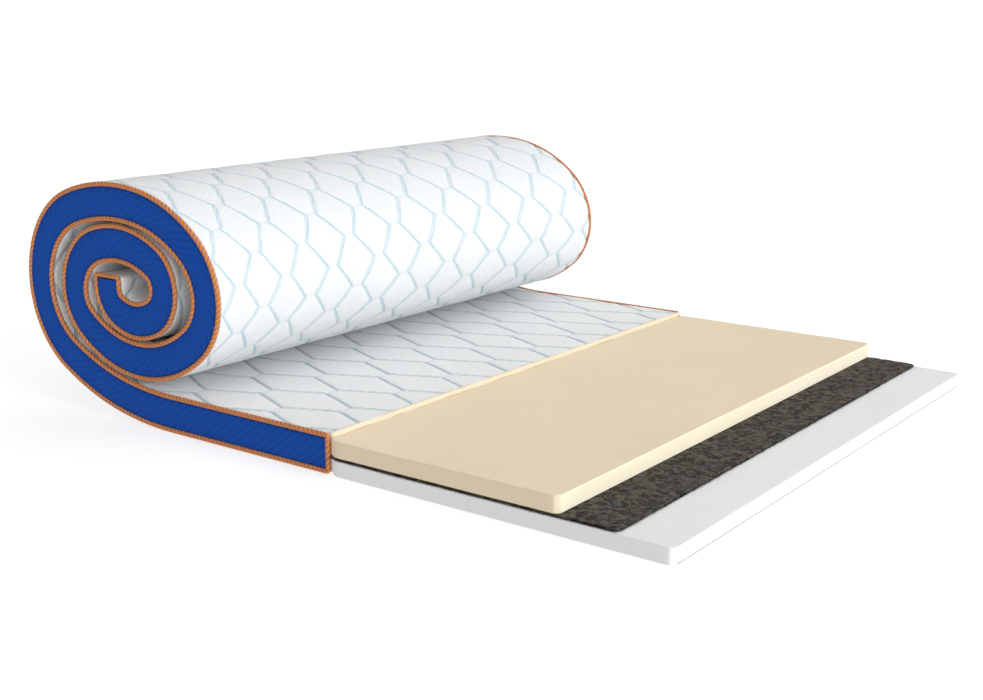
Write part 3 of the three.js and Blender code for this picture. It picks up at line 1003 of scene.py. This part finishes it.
def add_fibres(felt):
    """Loose fibres that stand out of the felt's cut edges and off its face."""
    rng = np.random.default_rng(12)
    count = 2600
    top = felt.free[1]
    along = rng.random(count)
    kind = rng.random(count)
    s = np.where(kind < 0.45, -felt.reach * along, -felt.reach + 0.0004)
    y = np.where(kind < 0.45, -felt.half_width, felt.half_width * (2 * along - 1))
    face = kind > 0.85
    s = np.where(face, -felt.reach * rng.uniform(0.83, 1.0, count), s)
    y = np.where(face, felt.half_width * rng.uniform(-1, 1, count), y)
    h = np.where(face, top, rng.uniform(felt.free[0] + 0.0004, top, count))
    heading = np.where(kind < 0.45, -math.pi / 2, math.pi) + rng.normal(0, 0.75, count)
    heading = np.where(face, rng.uniform(0, 2 * math.pi, count), heading)
    length = rng.uniform(0.0015, 0.0046, count)
    points, quads = [], []
    steps = np.linspace(0, 1, 4)
    curl = rng.normal(0, 0.9, count)
    lift = np.where(face, rng.uniform(0.1, 0.5, count), rng.normal(0, 0.25, count))
    ring = np.array([[1, 0], [-0.5, 0.87], [-0.5, -0.87]]) * FIBRE_RADIUS
    for i in range(count):
        a = heading[i] + curl[i] * steps
        ds, dy = np.cos(a) * length[i] / 3, np.sin(a) * length[i] / 3
        ps = s[i] + np.concatenate([[0], np.cumsum(ds[:-1])])
        py = y[i] + np.concatenate([[0], np.cumsum(dy[:-1])])
        ph = h[i] + lift[i] * length[i] * steps * (1.4 - steps)
        base = len(points)
        for q in range(4):
            across = (-math.sin(a[q]), math.cos(a[q]))
            taper = 1.0 - 0.6 * steps[q]
            for r in ring:
                side, up = r * taper
                points.append((ps[q] + across[0] * side, py[q] + across[1] * side, ph[q] + up))
        for q in range(3):
            for c in range(3):
                a0, b0 = base + 3 * q + c, base + 3 * q + (c + 1) % 3
                quads.append((a0, a0 + 3, b0 + 3, b0))
    p = np.array(points)
    p[:, 2] = np.clip(p[:, 2], felt.free[0] - 0.0002, None)
    piece = make_mesh(
        "felt_fibres", place(p[:, 0], p[:, 1], p[:, 2]), np.array(quads), attributes={"strip": p}
    )
    finish_piece(piece, FELT, ["felt_flat"], body="laid_part")


def add_core():
    """The three layers inside the rolled cover, a piece for each hinge. Nothing of them shows."""
    # As fine as the panels round it.
    s, marks = stations(FINE, FLAT, TOTAL)
    levels = [(0.0036, 0.0182, WHITE), (0.0187, 0.0216, FELT), (0.0221, 0.0413, CREAM)]
    loops = [rounded_loop(HELD_HALF_WIDTH, low, high, 0.0008, 8) for low, high, _ in levels]
    materials = [material for _, _, material in levels]
    for k in range(1, HINGES + 2):
        last = k > HINGES
        rows = slice(marks[k - 1], marks[k] + 1)
        grids = [Grid(s[rows, None], loop[None, :, 0], loop[None, :, 1], normals=False) for loop in loops]
        points, quads, strip, counts = join_grids(grids)
        name = "layers_end" if last else f"layers_{number(k)}"
        piece = make_mesh(name, points, quads, attributes={"strip": strip})
        stretch = number(min(k, HINGES))
        nodes = [f"cream_foam_{stretch}", f"white_foam_{stretch}", "felt_roll"]
        if k == 1:
            nodes += ["cream_foam_00", "white_foam_00"]
        finish_piece(piece, materials, nodes, LAST_BODY if last else None, None if last else k)
        slots = np.repeat(np.arange(len(levels)), counts)
        piece.data.polygons.foreach_set("material_index", slots.astype(np.int32))


add_panels()
add_borders()
add_piping()
add_layers()


# ---------------------------------------------------------------- stage
FLOOR_SIZE, FLOOR_LEVEL = 80.0, -0.0004  # just below the mattress, so that no two faces coincide
FLOOR_COLOUR, FLOOR_GLOW = (0.49, 0.49, 0.492), 0.62
# A lamp's name, the direction it shines from, the width of its light in degrees, strength and colour.
LAMPS = [
    ("key", (0.99, -0.12, 0.07), 40, 1.35, (0.72, 0.87, 1.0)),
    ("fill", (0.93, -0.10, 0.36), 30, 0.80, (0.97, 0.98, 1.0)),
]
SKY_SLOPE = (0.45, 0.30, 0.12)  # how much brighter the sky is towards +X, +Y and +Z
HAZE = (0.05, 0.0, 0.72, 1.35)  # added: 0.72 above a height of 0.05, and up to 1.35 at the horizon


def add_stage():
    mesh = bpy.data.meshes.new("floor")
    signs = ((-1, -1), (1, -1), (1, 1), (-1, 1))
    mesh.from_pydata([(x * FLOOR_SIZE, y * FLOOR_SIZE, FLOOR_LEVEL) for x, y in signs], [], [(0, 1, 2, 3)])
    floor = bpy.data.objects.new("floor", mesh)
    bpy.context.scene.collection.objects.link(floor)
    t = Tree("floor_paper", 0.95)
    t.shader.inputs["Specular IOR Level"].default_value = 0.0
    t.colour(FLOOR_COLOUR)
    t.shader.inputs["Emission Color"].default_value = (1, 1, 1, 1)
    t.shader.inputs["Emission Strength"].default_value = FLOOR_GLOW
    mesh.materials.append(t.material)
    add_sky()
    for name, direction, angle, strength, colour in LAMPS:
        light = bpy.data.lights.new(name, "SUN")
        light.energy, light.angle, light.color = strength, math.radians(angle), colour
        lamp = bpy.data.objects.new(name, light)
        lamp.rotation_euler = Vector(direction).to_track_quat("Z", "Y").to_euler()
        bpy.context.scene.collection.objects.link(lamp)
    bpy.context.scene.view_settings.view_transform = "Standard"


def add_sky():
    """A white studio's light: brighter from the cover's open end and from behind the object."""
    world = bpy.data.worlds.new("studio")
    world.use_nodes = True
    tree = world.node_tree
    place_on_sky = tree.nodes.new("ShaderNodeTexCoord")
    weights = tree.nodes.new("ShaderNodeVectorMath")
    weights.operation = "DOT_PRODUCT"
    weights.inputs[1].default_value = SKY_SLOPE
    level, split = tree.nodes.new("ShaderNodeMath"), tree.nodes.new("ShaderNodeSeparateXYZ")
    level.operation = "ADD"
    haze = tree.nodes.new("ShaderNodeMapRange")  # the wall behind the floor's far edge is as pale as it
    for socket, value in zip(haze.inputs[1:5], HAZE):
        socket.default_value = value
    tree.links.new(place_on_sky.outputs["Generated"], weights.inputs[0])
    tree.links.new(place_on_sky.outputs["Generated"], split.inputs[0])
    tree.links.new(split.outputs[2], haze.inputs[0])
    tree.links.new(weights.outputs["Value"], level.inputs[0])
    tree.links.new(haze.outputs[0], level.inputs[1])
    background = tree.nodes["Background"]
    background.inputs["Color"].default_value = (1.0, 1.0, 1.0, 1)
    tree.links.new(level.outputs[0], background.inputs["Strength"])
    bpy.context.scene.world = world


add_stage()
